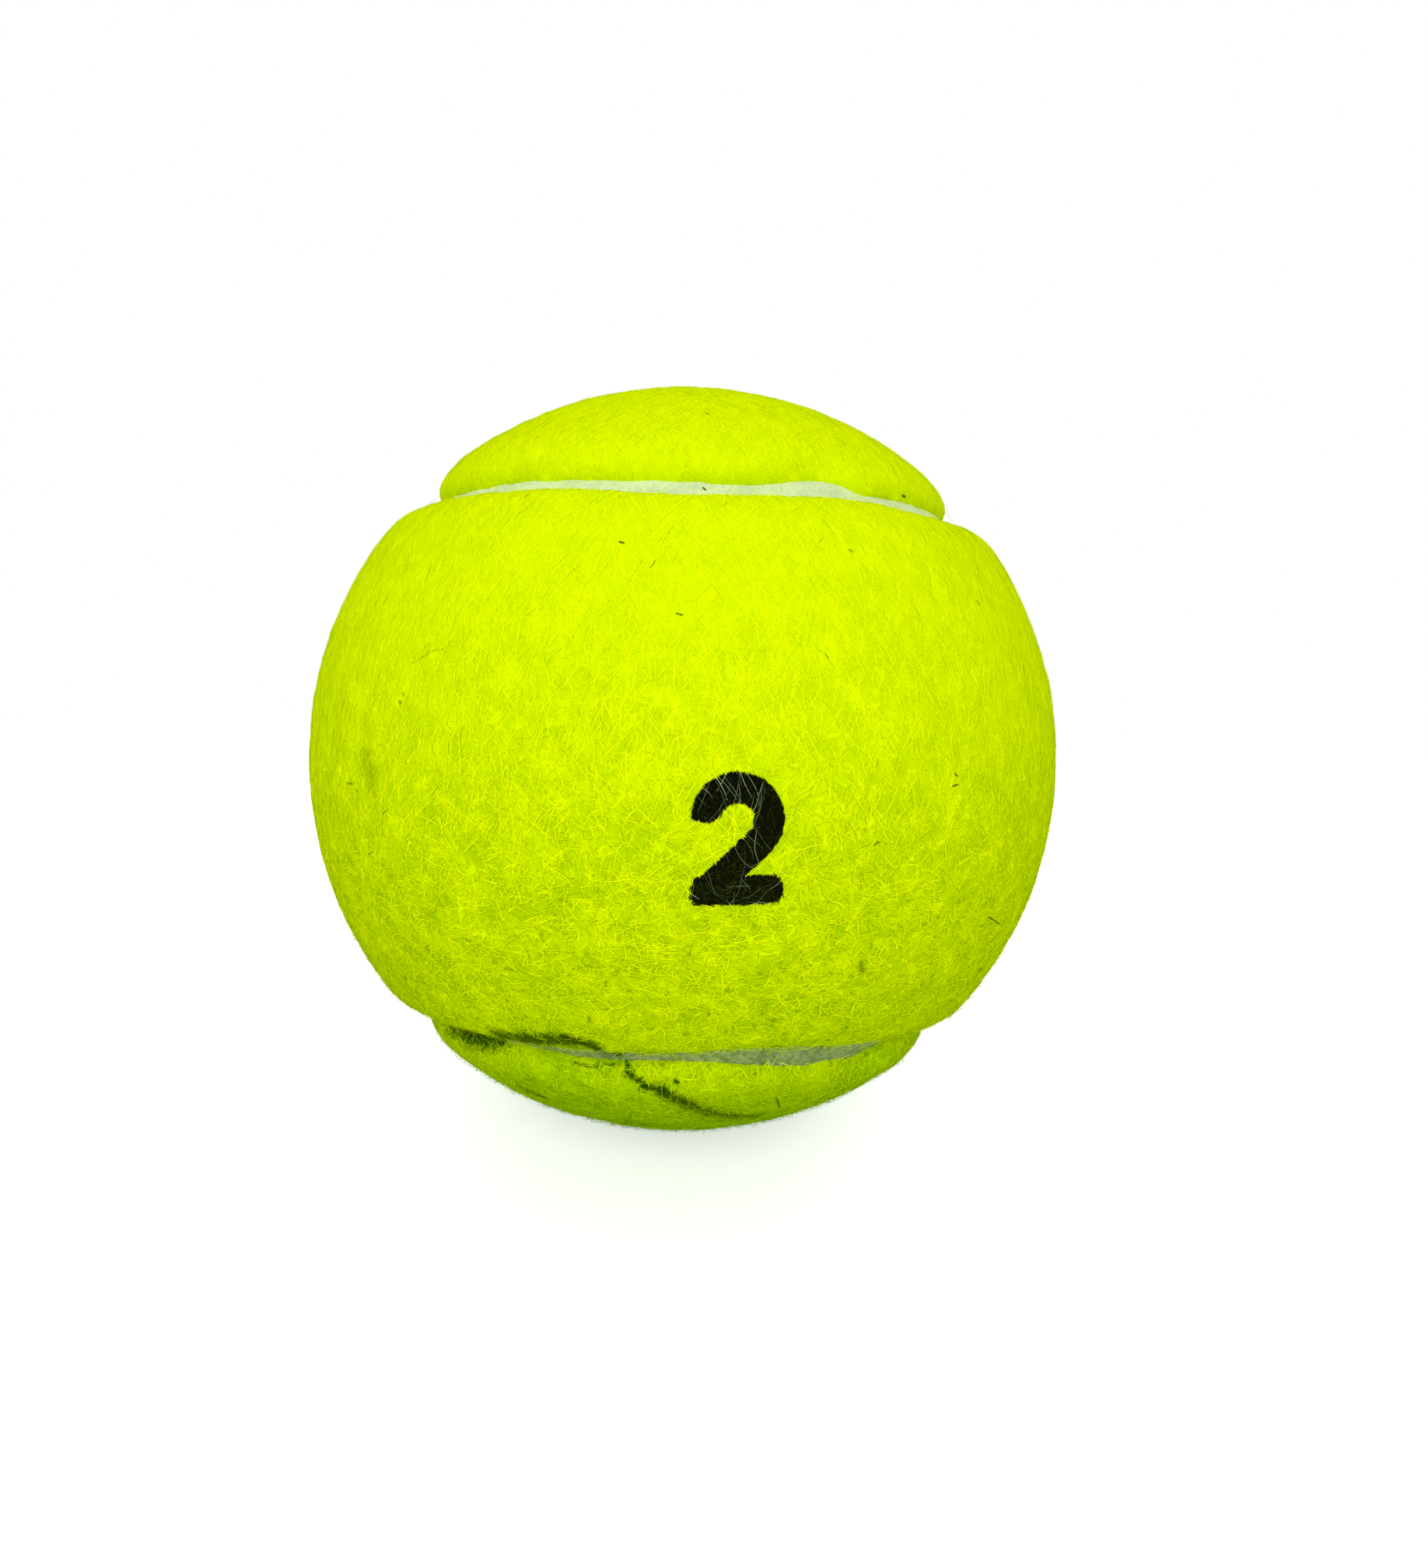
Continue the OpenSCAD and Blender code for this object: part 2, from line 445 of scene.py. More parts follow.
loop = seam_loop()
loop_mesh = bpy.data.meshes.new("seam_path")
middle_r = seam_r - strip_depth / 2
edges = [(i, (i + 1) % len(loop)) for i in range(len(loop))]
loop_mesh.from_pydata([p * middle_r for p in loop], edges, [])
loop_path = new_object("seam_path", loop_mesh)
seam_strip = grown(
    "seam_strip",
    loop_path,
    strip,
    {
        "Width": strip_w,
        "Depth": strip_depth,
        "Unevenness": strip_unevenness,
        "Swelling": swelling,
        "Material": seam_material,
    },
)
bpy.data.objects.remove(loop_path)
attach(seam_strip, "root")
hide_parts("seam_rubber")

# The felt: two dumbbell panels cut from woven cloth with a raised nap. Steam fluffs the
# nap after the ball is moulded, so the panels swell, lump a little, and roll down to
# the seam all round. The ball comes out a little fuller at the two sides.
felt_light = (0.82, 0.97, 0.0, 1)
felt_deep = (0.38, 0.56, 0.0, 1)
nap_base_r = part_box("felt_backing_front")[1].x
felt_sink = 0.1 * mm
felt_r = crown_r - felt_sink
cut_edge = 0.9 * mm
edge_drop = 1.35 * mm
shoulder_low, shoulder_high = 2.5 * mm, 3.4 * mm
fuller_sides = 0.2 * mm
lump_height = 0.28 * mm
lump_scale, ripple_scale = 5.0, 22.0
ripple_share = 0.8
wander_scale = 7.0
wander_w = 0.9 * mm

# Where the cutter or the steam left a panel's edge short, or long where the depth is
# negative: a pixel of the photograph, the half width, the depth, and whether it is on
# the rear panel
nicks_px = (
    ((1042, 613), 4.8 * mm, 1.2 * mm, True),
    ((700, 618), 13.0 * mm, 0.2 * mm, True),
    ((1100, 630), 12.0 * mm, 0.3 * mm, True),
    ((680, 636), 14.0 * mm, -0.5 * mm, False),
    ((1065, 645), 12.0 * mm, -0.5 * mm, False),
    ((1100, 1350), 4.2 * mm, 1.05 * mm, True),
    ((760, 1357), 6.0 * mm, 0.4 * mm, True),
    ((975, 1345), 9.0 * mm, 0.62 * mm, False),
    ((1122, 1340), 2.6 * mm, -0.6 * mm, False),
)

felt_edge, given, out = new_group(
    "Felt edge",
    "GeometryNodeTree",
    [("Position", "Vector")],
    [("Beyond", "Float"), ("Trim", "Float"), ("Direction", "Vector")],
)
gap = grouped(felt_edge, seam_gap, {"Position": given["Position"]})
beyond = number(felt_edge, "SUBTRACT", number(felt_edge, "ABSOLUTE", gap["Distance"]), cut_edge)
wander = noise(felt_edge, gap["Direction"], wander_scale, 4.0, 0.0, 0.6)
trim = number(felt_edge, "MULTIPLY", centred(felt_edge, wander), wander_w)
at_seam = scaled(felt_edge, gap["Direction"], seam_r)
for nick_px, nick_w, nick_depth, on_rear in nicks_px:
    from_nick = vector(felt_edge, "DISTANCE", at_seam, tuple(on_ball(*nick_px, seam_r)))
    nick = ramp(felt_edge, from_nick, 0.0, nick_w, nick_depth, 0.0)
    side = "LESS_THAN" if on_rear else "GREATER_THAN"
    on_panel = number(felt_edge, side, gap["Distance"], 0.0)
    trim = number(felt_edge, "MULTIPLY_ADD", nick, on_panel, trim)
felt_edge.links.new(beyond, out["Beyond"])
felt_edge.links.new(trim, out["Trim"])
felt_edge.links.new(gap["Direction"], out["Direction"])

surface, given, out = new_group(
    "Felt surface",
    "GeometryNodeTree",
    [("Position", "Vector"), ("Lump height", "Float", lump_height)],
    [("Direction", "Vector"), ("Radius", "Float"), ("From edge", "Float")],
)
edge = grouped(surface, felt_edge, {"Position": given["Position"]})
inside = number(surface, "SUBTRACT", edge["Beyond"], edge["Trim"])
toward = parts_of(surface, edge["Direction"])
shoulder_w = ramp(surface, toward["Z"], -0.6, 0.2, shoulder_low, shoulder_high)
share = add_node(surface, "ShaderNodeClamp", {0: number(surface, "DIVIDE", inside, shoulder_w)})
fallen = number(surface, "SUBTRACT", 1.0, share.outputs[0])
fallen = number(surface, "MULTIPLY", fallen, fallen)
level = number(surface, "SQRT", number(surface, "SUBTRACT", 1.0, fallen))
height = number(surface, "MULTIPLY", number(surface, "SUBTRACT", level, 1.0), edge_drop)
lumps = centred(surface, noise(surface, edge["Direction"], lump_scale, 2.0))
ripples = centred(surface, noise(surface, edge["Direction"], ripple_scale, 2.0))
ripples = number(surface, "MULTIPLY", ripples, ripple_share)
lumps = number(surface, "MULTIPLY", number(surface, "ADD", lumps, ripples), given["Lump height"])
height = number(surface, "ADD", height, number(surface, "MULTIPLY", lumps, share.outputs[0]))
sideways = number(surface, "POWER", number(surface, "ABSOLUTE", toward["X"]), 2.0)
height = number(surface, "MULTIPLY_ADD", sideways, fuller_sides, height)
surface.links.new(edge["Direction"], out["Direction"])
surface.links.new(number(surface, "ADD", height, felt_r), out["Radius"])
surface.links.new(inside, out["From edge"])

sheet_cuts = 7
weld = 1e-7


def felt_sheet(name):
    """The outline of the front panel, cut from a fine sphere along the seam."""
    bm = bmesh.new()
    bmesh.ops.create_icosphere(bm, subdivisions=sheet_cuts, radius=crown_r)
    tilt_y, tilt_z = math.sin(lobe_tilt), math.cos(lobe_tilt)
    whole = bm.verts[:] + bm.edges[:] + bm.faces[:]
    bmesh.ops.bisect_plane(bm, geom=whole, plane_co=(0, 0, 0), plane_no=(0, 1, 0), dist=weld)
    edge = cut_edge / seam_r
    for sign in (1, -1):
        for lobe, front, angle in (
            (Vector((0, -tilt_y, sign * tilt_z)), True, seam_angle + edge),
            (Vector((sign * tilt_z, tilt_y, 0)), False, seam_angle - edge),
        ):
            half = [f for f in bm.faces if (f.calc_center_median().y < 0) == front]
            geometry = set(half)
            for f in half:
                geometry.update(f.edges)
                geometry.update(f.verts)
            bmesh.ops.bisect_plane(
                bm,
                geom=list(geometry),
                plane_co=lobe * crown_r * math.cos(angle),
                plane_no=lobe,
                dist=weld,
            )
    left = []
    for f in bm.faces:
        c = f.calc_center_median().normalized()
        if c.y < 0:
            keep = abs(c.z) * tilt_z - c.y * tilt_y < math.cos(seam_angle + edge)
        else:
            keep = abs(c.x) * tilt_z + c.y * tilt_y > math.cos(seam_angle - edge)
        if not keep:
            left.append(f)
    bmesh.ops.delete(bm, geom=left, context="FACES")
    bmesh.ops.triangulate(bm, faces=bm.faces[:])
    mesh = bpy.data.meshes.new(name)
    bm.to_mesh(mesh)
    bm.free()
    return new_object(name, mesh)


# The cutter's line wanders: each point near an edge moves away from the seam, or back to
# it, along the slope of its distance from the seam
trimmer, given, out = new_tree("Trim sheet", [("Reach", "Float"), ("Probe", "Float")])
here = trimmer.nodes.new("GeometryNodeInputPosition").outputs[0]
edge = grouped(trimmer, felt_edge, {"Position": here})
slope = None
for axis in ((1, 0, 0), (0, 1, 0), (0, 0, 1)):
    probed = vector(trimmer, "ADD", here, scaled(trimmer, axis, given["Probe"]))
    beyond = grouped(trimmer, felt_edge, {"Position": probed})["Beyond"]
    part = scaled(trimmer, axis, number(trimmer, "SUBTRACT", beyond, edge["Beyond"]))
    slope = part if slope is None else vector(trimmer, "ADD", slope, part)
near_edge = ramp(trimmer, edge["Beyond"], 0.0, given["Reach"], 1.0, 0.0)
cut_back = number(trimmer, "MULTIPLY", edge["Trim"], near_edge)
cut_back = scaled(trimmer, vector(trimmer, "NORMALIZE", slope), cut_back)
moved = add_node(trimmer, "GeometryNodeSetPosition", {0: given["Geometry"], "Offset": cut_back})
trimmer.links.new(moved.outputs[0], out["Geometry"])

front_cut = felt_sheet("front_cut")
rear_mesh = front_cut.data.copy()
rear_mesh.transform(to_rear.to_4x4())
rear_cut = new_object("rear_cut", rear_mesh)
trimming = {"Reach": 3.0 * mm, "Probe": 0.02 * mm}
front_sheet = grown("front_sheet", front_cut, trimmer, trimming)
rear_sheet = grown("rear_sheet", rear_cut, trimmer, trimming)
bpy.data.objects.remove(front_cut)
bpy.data.objects.remove(rear_cut)

panel, given, out = new_tree("Felt panel", [("Base radius", "Float"), ("Material", "Material")])
pulled = add_node(panel, "GeometryNodeExtrudeMesh", {0: given["Geometry"], "Offset Scale": 0.0})
pulled.inputs["Individual"].default_value = False
here = panel.nodes.new("GeometryNodeInputPosition").outputs[0]
felt = grouped(panel, surface, {"Position": here})
top = add_node(
    panel,
    "GeometryNodeSetPosition",
    {
        0: pulled.outputs["Mesh"],
        "Selection": pulled.outputs["Top"],
        "Position": scaled(panel, felt["Direction"], felt["Radius"]),
    },
)
inner = scaled(panel, vector(panel, "NORMALIZE", here), given["Base radius"])
not_top = add_node(
    panel, "FunctionNodeBooleanMath", {0: pulled.outputs["Top"]}, operation="NOT"
).outputs[0]
walls = add_node(
    panel, "GeometryNodeSetPosition", {0: top.outputs[0], "Selection": not_top, "Position": inner}
)
under = add_node(panel, "GeometryNodeSetPosition", {0: given["Geometry"], "Position": inner})
under = add_node(panel, "GeometryNodeFlipFaces", {0: under.outputs[0]})
both = panel.nodes.new("GeometryNodeJoinGeometry")
panel.links.new(under.outputs[0], both.inputs[0])
panel.links.new(walls.outputs[0], both.inputs[0])
welded = add_node(panel, "GeometryNodeMergeByDistance", {0: both.outputs[0], "Distance": weld})
smooth = add_node(panel, "GeometryNodeSetShadeSmooth", {0: welded.outputs[0]})
finish_tree(panel, smooth.outputs[0], given, out)

# The ball's number, a plain bold 2 that is stamped on the felt in black ink: a bowl, a
# slanting stroke and a foot. The nap frays its edges.
numeral_px = Vector((949, 1081))
numeral_top_px = Vector((949, 995))
numeral_centre = on_ball(*numeral_px)
numeral_out = numeral_centre.normalized()
numeral_up = on_ball(*numeral_top_px) - numeral_centre
numeral_up = (numeral_up - numeral_up.dot(numeral_out) * numeral_out).normalized()
numeral_right = numeral_up.cross(numeral_out)
numeral_w, numeral_h, stroke_w = 5.15 * mm, 7.35 * mm, 1.72 * mm
corner_r = 1.0 * mm
bowl_start, bowl_end = math.radians(184), math.radians(-47)
fray_w = 0.3 * mm
frays_per_m = 2400.0
ink_edge = 0.05 * mm

numeral, given, out = new_group(
    "Ball number",
    "ShaderNodeTree",
    [("Vector", "Vector"), ("Fray", "Float", fray_w), ("Shift", "Float")],
    [("Ink", "Float")],
)


def plane(tree, a, b):
    """The point at two numbers in the XY plane."""
    return add_node(tree, "ShaderNodeCombineXYZ", {0: a, 1: b}).outputs[0]


from_centre = vector(numeral, "SUBTRACT", given["Vector"], tuple(numeral_centre))
u = vector(numeral, "DOT_PRODUCT", from_centre, tuple(numeral_right))
v = vector(numeral, "DOT_PRODUCT", from_centre, tuple(numeral_up))
bowl_r = numeral_w / 2 - stroke_w / 2
bowl_y = numeral_h / 2 - numeral_w / 2
from_bowl = plane(numeral, u, number(numeral, "SUBTRACT", v, bowl_y))
ring = number(numeral, "SUBTRACT", vector(numeral, "LENGTH", from_bowl), bowl_r)
ring = number(numeral, "SUBTRACT", number(numeral, "ABSOLUTE", ring), stroke_w / 2)
start_side = (-math.sin(bowl_start), math.cos(bowl_start), 0)
end_side = (math.sin(bowl_end), -math.cos(bowl_end), 0)
opened = number(
    numeral,
    "MINIMUM",
    vector(numeral, "DOT_PRODUCT", from_bowl, start_side),
    vector(numeral, "DOT_PRODUCT", from_bowl, end_side),
)
bowl = number(numeral, "SMOOTH_MAX", ring, opened, corner_r)
foot_y = -numeral_h / 2 + stroke_w / 2
bend = Vector((bowl_r * math.cos(bowl_end), bowl_y + bowl_r * math.sin(bowl_end), 0))
slant = Vector(end_side)
slant_length = (foot_y - bend.y) / slant.y
from_bend = vector(numeral, "SUBTRACT", plane(numeral, u, v), tuple(bend))
along = vector(numeral, "DOT_PRODUCT", from_bend, tuple(slant))
along = add_node(numeral, "ShaderNodeClamp", {0: along, 2: slant_length}).outputs[0]
off_line = vector(numeral, "SUBTRACT", from_bend, scaled(numeral, tuple(slant), along))
stroke = number(numeral, "SUBTRACT", vector(numeral, "LENGTH", off_line), stroke_w / 2)
stroke = number(numeral, "MAXIMUM", stroke, number(numeral, "SUBTRACT", -numeral_h / 2, v))
foot_side = number(numeral, "SUBTRACT", number(numeral, "ABSOLUTE", u), numeral_w / 2)
foot_top = number(numeral, "ABSOLUTE", number(numeral, "SUBTRACT", v, foot_y))
foot_top = number(numeral, "SUBTRACT", foot_top, stroke_w / 2)
foot = number(numeral, "SMOOTH_MAX", foot_side, foot_top, corner_r)
outline = number(numeral, "MINIMUM", number(numeral, "MINIMUM", bowl, stroke), foot)
fray = centred(numeral, noise(numeral, given["Vector"], frays_per_m, 2.0))
outline = number(numeral, "MULTIPLY_ADD", fray, given["Fray"], outline)
outline = number(numeral, "ADD", outline, given["Shift"])
printed = ramp(numeral, outline, -ink_edge, ink_edge, 1.0, 0.0)
facing = vector(numeral, "DOT_PRODUCT", given["Vector"], tuple(numeral_out))
facing = number(numeral, "GREATER_THAN", facing, 0.0)
numeral.links.new(number(numeral, "MULTIPLY", printed, facing), out["Ink"])

# Curled threads: the level lines of a smooth noise wander and close like loose fibres
threads, given, out = new_group(
    "Curled threads",
    "ShaderNodeTree",
    [("Vector", "Vector"), ("Scale", "Float"), ("Thickness", "Float")],
    [("Threads", "Float")],
)
lines = None
for shift, size in ((0.0, 1.0), (3.1, 1.45), (7.7, 2.1)):
    place = vector(threads, "ADD", given["Vector"], (shift, shift, shift))
    curls = noise(threads, place, number(threads, "MULTIPLY", given["Scale"], size), 0.0, 0.6)
    off = number(threads, "ABSOLUTE", centred(threads, curls))
    line = ramp(threads, off, 0.0, given["Thickness"], 1.0, 0.0)
    lines = line if lines is None else number(threads, "MAXIMUM", lines, line)
threads.links.new(lines, out["Threads"])

ink_black = (0.0012, 0.0016, 0.0012, 1)
# Painted shade: a tint that darkens the felt and makes it greener low on the ball
low_shade_tint = (0.42, 0.70, 1.0, 1)
# Painted shade seen in the gaps between fibres
gap_shade = (0.22, 0.36, 0.0, 1)
sheen, sheen_roughness = 0.22, 0.5
# Painted light: the felt and fibres drawn lighter and more even on the ball's upper half
top_light_shade, most_top_light = 0.58, 0.7
top_light_low_z, top_light_high_z = -12 * mm, 14 * mm
mottles_per_m = 620.0
tangles_per_m, tangle_w = 750.0, 0.03
tangle_depth = 0.10 * mm


def soiled(tree, place, colour, inked=ink_black, shift=0.0, clinging=1.0):
    """The felt's colour under the stamped number, the painted shade low on the ball and in the
    gaps of the nap, and the court dirt that clings to it.
    """
    ink = grouped(tree, numeral, {"Vector": place, "Shift": shift})["Ink"]
    soil_and_shade = grouped(tree, dirt_and_shade, {"Vector": place})
    # Painted shade in the gaps between fibres
    colour = mixed(tree, soil_and_shade["Gaps"], colour, gap_shade)
    # Painted shade: darker and greener low on the ball
    shaded_low = mixed(tree, soil_and_shade["Grime"], colour, mixed(tree, 1.0, colour, low_shade_tint, "MULTIPLY"))
    dirt = number(tree, "MULTIPLY", soil_and_shade["Dirt"], clinging)
    return mixed(tree, ink, dirtied(tree, dirt, shaded_low), inked)


def fuzzy(shader):
    """The glow of fine fuzz where the felt is seen edge on."""
    shader.inputs["Sheen Weight"].default_value = sheen
    shader.inputs["Sheen Roughness"].default_value = sheen_roughness
    shader.inputs["Sheen Tint"].default_value = felt_light


def painted_top_light(tree, place, shade):
    """A mask that varies less and is lighter on the ball's upper half: painted light from above.
    """
    upward = parts_of(tree, place)["Z"]
    even = ramp(tree, upward, top_light_low_z, top_light_high_z, 0.0, most_top_light)
    return between(tree, even, shade, top_light_shade)


felt_bed, tree, shader, place = new_material("felt_bed", roughness=1.0, specular=0.0)
fuzzy(shader)
mottle = ramp(tree, noise(tree, place, mottles_per_m, 3.0), 0.3, 0.75, 0.0, 0.5)
tangled = {"Vector": place, "Scale": tangles_per_m, "Thickness": tangle_w}
tangle = grouped(tree, threads, tangled)["Threads"]
lit = number(tree, "MULTIPLY_ADD", tangle, 0.5, mottle)
# Painted light: the felt lighter and more even on the ball's upper half
lit = painted_top_light(tree, place, lit)
colour = soiled(tree, place, mixed(tree, lit, felt_deep, felt_light))
finish_surface(tree, shader, colour, lit, tangle_depth)

beds = []
for name, sheet, node in (
    ("felt_front", front_sheet, "felt_nap_front"),
    ("felt_rear", rear_sheet, "felt_nap_rear"),
):
    piece = grown(name, sheet, panel, {"Base radius": nap_base_r, "Material": felt_bed})
    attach(piece, "root")
    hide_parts(node)
    beds.append(piece)

# Court dirt, rubbed into the nap: dark streaks in and under the lower seam, the first of them also
# painted shade in its groove, two thin painted shadow lines along its lower edge, a faint scuff on
# one side, and short dark bits of lint. Each is a line between two pixels of the photograph, with
# its reach to each side, how dark it is and how ragged.
marks_px = (
    # Dirt, and painted shade in the groove at the lower seam's left end
    ((577, 1322), (600, 1328), 0.45 * mm, 0.6, 0.9),
    ((599, 1325), (646, 1335), 0.45 * mm, 0.95, 0.6),
    ((590, 1341), (622, 1344), 0.4 * mm, 0.22, 1.0),
    ((646, 1332), (726, 1339), 0.95 * mm, 0.8, 0.5),
    ((726, 1335), (764, 1345), 0.6 * mm, 0.95, 0.5),
    ((764, 1345), (794, 1354), 0.45 * mm, 1.0, 0.5),
    ((794, 1354), (797, 1362), 0.2 * mm, 0.3, 0.5),
    # Two painted shadow lines along the lower edge of the seam
    ((738, 1366), (752, 1370), 0.06 * mm, 0.5, 0.3),
    ((752, 1370), (790, 1368), 0.06 * mm, 0.5, 0.3),
    ((806, 1374), (822, 1389), 0.3 * mm, 0.7, 0.6),
    ((828, 1396), (850, 1402), 0.4 * mm, 0.85, 0.6),
    ((850, 1402), (886, 1419), 0.65 * mm, 0.9, 0.5),
    ((886, 1420), (920, 1432), 0.8 * mm, 0.65, 0.6),
    ((920, 1432), (970, 1435), 0.8 * mm, 0.65, 0.7),
    ((672, 1399), (701, 1411), 0.5 * mm, 0.65, 1.0),
    ((808, 1441), (850, 1445), 0.5 * mm, 0.4, 1.0),
    ((868, 1389), (871, 1391), 0.15 * mm, 0.9, 0.3),
    ((998, 1410), (1002, 1424), 0.10 * mm, 0.7, 0.3),
    ((472, 978), (478, 1006), 0.8 * mm, 0.22, 0.5),
    ((447, 1007), (454, 1008), 0.10 * mm, 0.4, 0.2),
    ((458, 1016), (460, 1018), 0.10 * mm, 0.3, 0.2),
    ((514, 902), (515, 904), 0.10 * mm, 0.5, 0.2),
    ((518, 891), (519, 894), 0.08 * mm, 0.35, 0.2),
    ((530, 853), (556, 837), 0.05 * mm, 0.2, 0.1),
    ((556, 837), (571, 835), 0.05 * mm, 0.2, 0.1),
    ((796, 697), (802, 698), 0.08 * mm, 0.7, 0.1),
    ((870, 789), (877, 791), 0.06 * mm, 0.6, 0.1),
    ((904, 627), (907, 630), 0.07 * mm, 0.9, 0.1),
    ((908, 531), (911, 533), 0.08 * mm, 0.6, 0.1),
    ((1160, 637), (1164, 639), 0.06 * mm, 0.7, 0.1),
    ((1092, 707), (1096, 709), 0.10 * mm, 0.4, 0.2),
    ((1123, 1087), (1130, 1082), 0.05 * mm, 0.7, 0.1),
    ((1228, 995), (1231, 998), 0.06 * mm, 0.7, 0.1),
    ((1225, 1011), (1231, 1009), 0.06 * mm, 0.7, 0.1),
    ((1255, 772), (1259, 777), 0.06 * mm, 0.6, 0.1),
    ((1316, 855), (1317, 864), 0.12 * mm, 0.3, 0.4),
    ((1271, 1179), (1285, 1188), 0.06 * mm, 0.7, 0.1),
    ((1259, 1246), (1261, 1248), 0.15 * mm, 0.6, 0.2),
    ((1107, 1240), (1109, 1250), 0.25 * mm, 0.35, 0.4),
)
wisps_per_m, wisp_contrast = 2200.0, 4.5
# Painted shade low on the ball: the size of its blotched edge and the heights it fades between
low_shade_blotches_per_m, low_shade_wander = 90.0, 12 * mm
low_shade_low_z, low_shade_high_z = -32 * mm, -11 * mm
most_low_shade = 0.92
# Painted shade in the gaps of the nap, most of it low on the ball
gap_shades_per_m = 1900.0
gap_shade_low_z, gap_shade_high_z = -15 * mm, 4 * mm
most_gap_shade, gap_shade_above = 0.65, 0.06

depsgraph = bpy.context.evaluated_depsgraph_get()
skins = [BVHTree.FromObject(piece, depsgraph) for piece in (*beds, seam_strip)]


def on_skin(x, y):
    """The direction of the felt or the seam that shows at a pixel of the photograph."""
    aimed = on_ball(x, y) - eye
    hits = [skin.ray_cast(eye, aimed) for skin in skins]
    nearest = min((hit for hit in hits if hit[0]), key=lambda hit: hit[3])
    return nearest[0].normalized() * crown_r


given, out = dirt_and_shade_given, dirt_and_shade_out
wispy = noise(dirt_and_shade, given["Vector"], wisps_per_m, 4.0, 0.8, 0.6)
wispy = number(dirt_and_shade, "MULTIPLY", number(dirt_and_shade, "SUBTRACT", wispy, 0.45), wisp_contrast)
at_crown = scaled(dirt_and_shade, vector(dirt_and_shade, "NORMALIZE", given["Vector"]), crown_r)
dirt = None
for first_px, last_px, reach, darkness, ragged in marks_px:
    first, last = on_skin(*first_px), on_skin(*last_px)
    run = last - first
    run_way = tuple(run.normalized())
    from_first = vector(dirt_and_shade, "SUBTRACT", at_crown, tuple(first))
    along = vector(dirt_and_shade, "DOT_PRODUCT", from_first, run_way)
    along = add_node(dirt_and_shade, "ShaderNodeClamp", {0: along, 2: run.length}).outputs[0]
    off = vector(dirt_and_shade, "SUBTRACT", from_first, scaled(dirt_and_shade, run_way, along))
    away = number(dirt_and_shade, "DIVIDE", vector(dirt_and_shade, "LENGTH", off), reach)
    away = number(dirt_and_shade, "MULTIPLY_ADD", wispy, ragged, away)
    streak = ramp(dirt_and_shade, away, -0.1, 1.7, darkness, 0.0)
    dirt = streak if dirt is None else number(dirt_and_shade, "MAXIMUM", dirt, streak)
dirt_and_shade.links.new(dirt, out["Dirt"])
# Painted shade: the felt darker and greener towards the bottom of the ball
blotches = centred(dirt_and_shade, noise(dirt_and_shade, given["Vector"], low_shade_blotches_per_m, 3.0))
upward = parts_of(dirt_and_shade, given["Vector"])["Z"]
upward = number(dirt_and_shade, "MULTIPLY_ADD", blotches, low_shade_wander, upward)
low_shade = ramp(dirt_and_shade, upward, low_shade_low_z, low_shade_high_z, most_low_shade, 0.0)
dirt_and_shade.links.new(low_shade, out["Grime"])
# Painted shade: dark pits in the gaps between fibres, fewer high on the ball
gap_shade_mask = noise(dirt_and_shade, given["Vector"], gap_shades_per_m, 1.0)
gap_shade_mask = ramp(dirt_and_shade, gap_shade_mask, 0.62, 0.76, 0.0, most_gap_shade)
fewer = ramp(dirt_and_shade, upward, gap_shade_low_z, gap_shade_high_z, 1.0, gap_shade_above)
dirt_and_shade.links.new(number(dirt_and_shade, "MULTIPLY", gap_shade_mask, fewer), out["Gaps"])

# The nap's loose fibres: curled wool and nylon, one or two millimetres long, that lie
# over each other on the panels, cross the seam here and there and stand off at the
# edges. They are combed upright on the ball's upper half and curl more on the lower.
fibre_light = (0.94, 1.0, 0.0, 1)
fibre_deep = (0.53, 0.75, 0.0, 1)
stray_pale = (0.40, 0.46, 0.28, 1)
stray_dim = (0.05, 0.08, 0.03, 1)
lint_dark = (0.05, 0.07, 0.01, 1)
panel_area = 2 * math.pi * crown_r * crown_r
fibre_curl = 1.7
length_shares, width_shares = (0.55, 1.35), (0.7, 1.3)
wave_turns, wave_swings = (3.0, 9.0), (0.1, 0.7)
arch_turns, tilts = (1.3, 3.1), (-0.25, 0.25)
taper_turn, taper_start = 2.3, 0.42
combed = 0.24
most_crossing, least_crossing = 0.5, 0.04
dive_low, dive_high, dive_depth = -0.4 * mm, 0.15 * mm, 1.0 * mm
bridge_low, bridge_high, bridge_rise = -0.3 * mm, 0.8 * mm, 0.5 * mm
cell_margin = 0.15
ink_jitter = 0.20 * mm

nap, given, out = new_tree(
    "Nap fibres",
    [
        ("Felt", "Object"),
        ("Fibres per square metre", "Float"),
        ("Length", "Float"),
        ("Width", "Float"),
        ("Curl", "Float"),
        ("Sink", "Float"),
        ("Lift", "Float"),
        ("Points", "Int"),
        ("Columns", "Int"),
        ("Seed", "Int"),
        ("Material", "Material"),
    ],
)


def drawn(low, high, key):
    """A random number for each fibre, that the seed and a key fix."""
    inputs = {2: low, 3: high, "ID": fibre, "Seed": number(nap, "ADD", given["Seed"], key * 1.0)}
    return add_node(nap, "FunctionNodeRandomValue", inputs, data_type="FLOAT").outputs[1]


def stored(geometry, name, kind, value, domain="POINT"):
    """The geometry with one more named attribute."""
    inputs = {0: geometry, "Name": name, "Value": value}
    made = add_node(nap, "GeometryNodeStoreNamedAttribute", inputs, data_type=kind, domain=domain)
    return made.outputs[0]


def kept(name, kind):
    """A named attribute that was stored before."""
    made = add_node(nap, "GeometryNodeInputNamedAttribute", {"Name": name}, data_type=kind)
    return made.outputs[0]


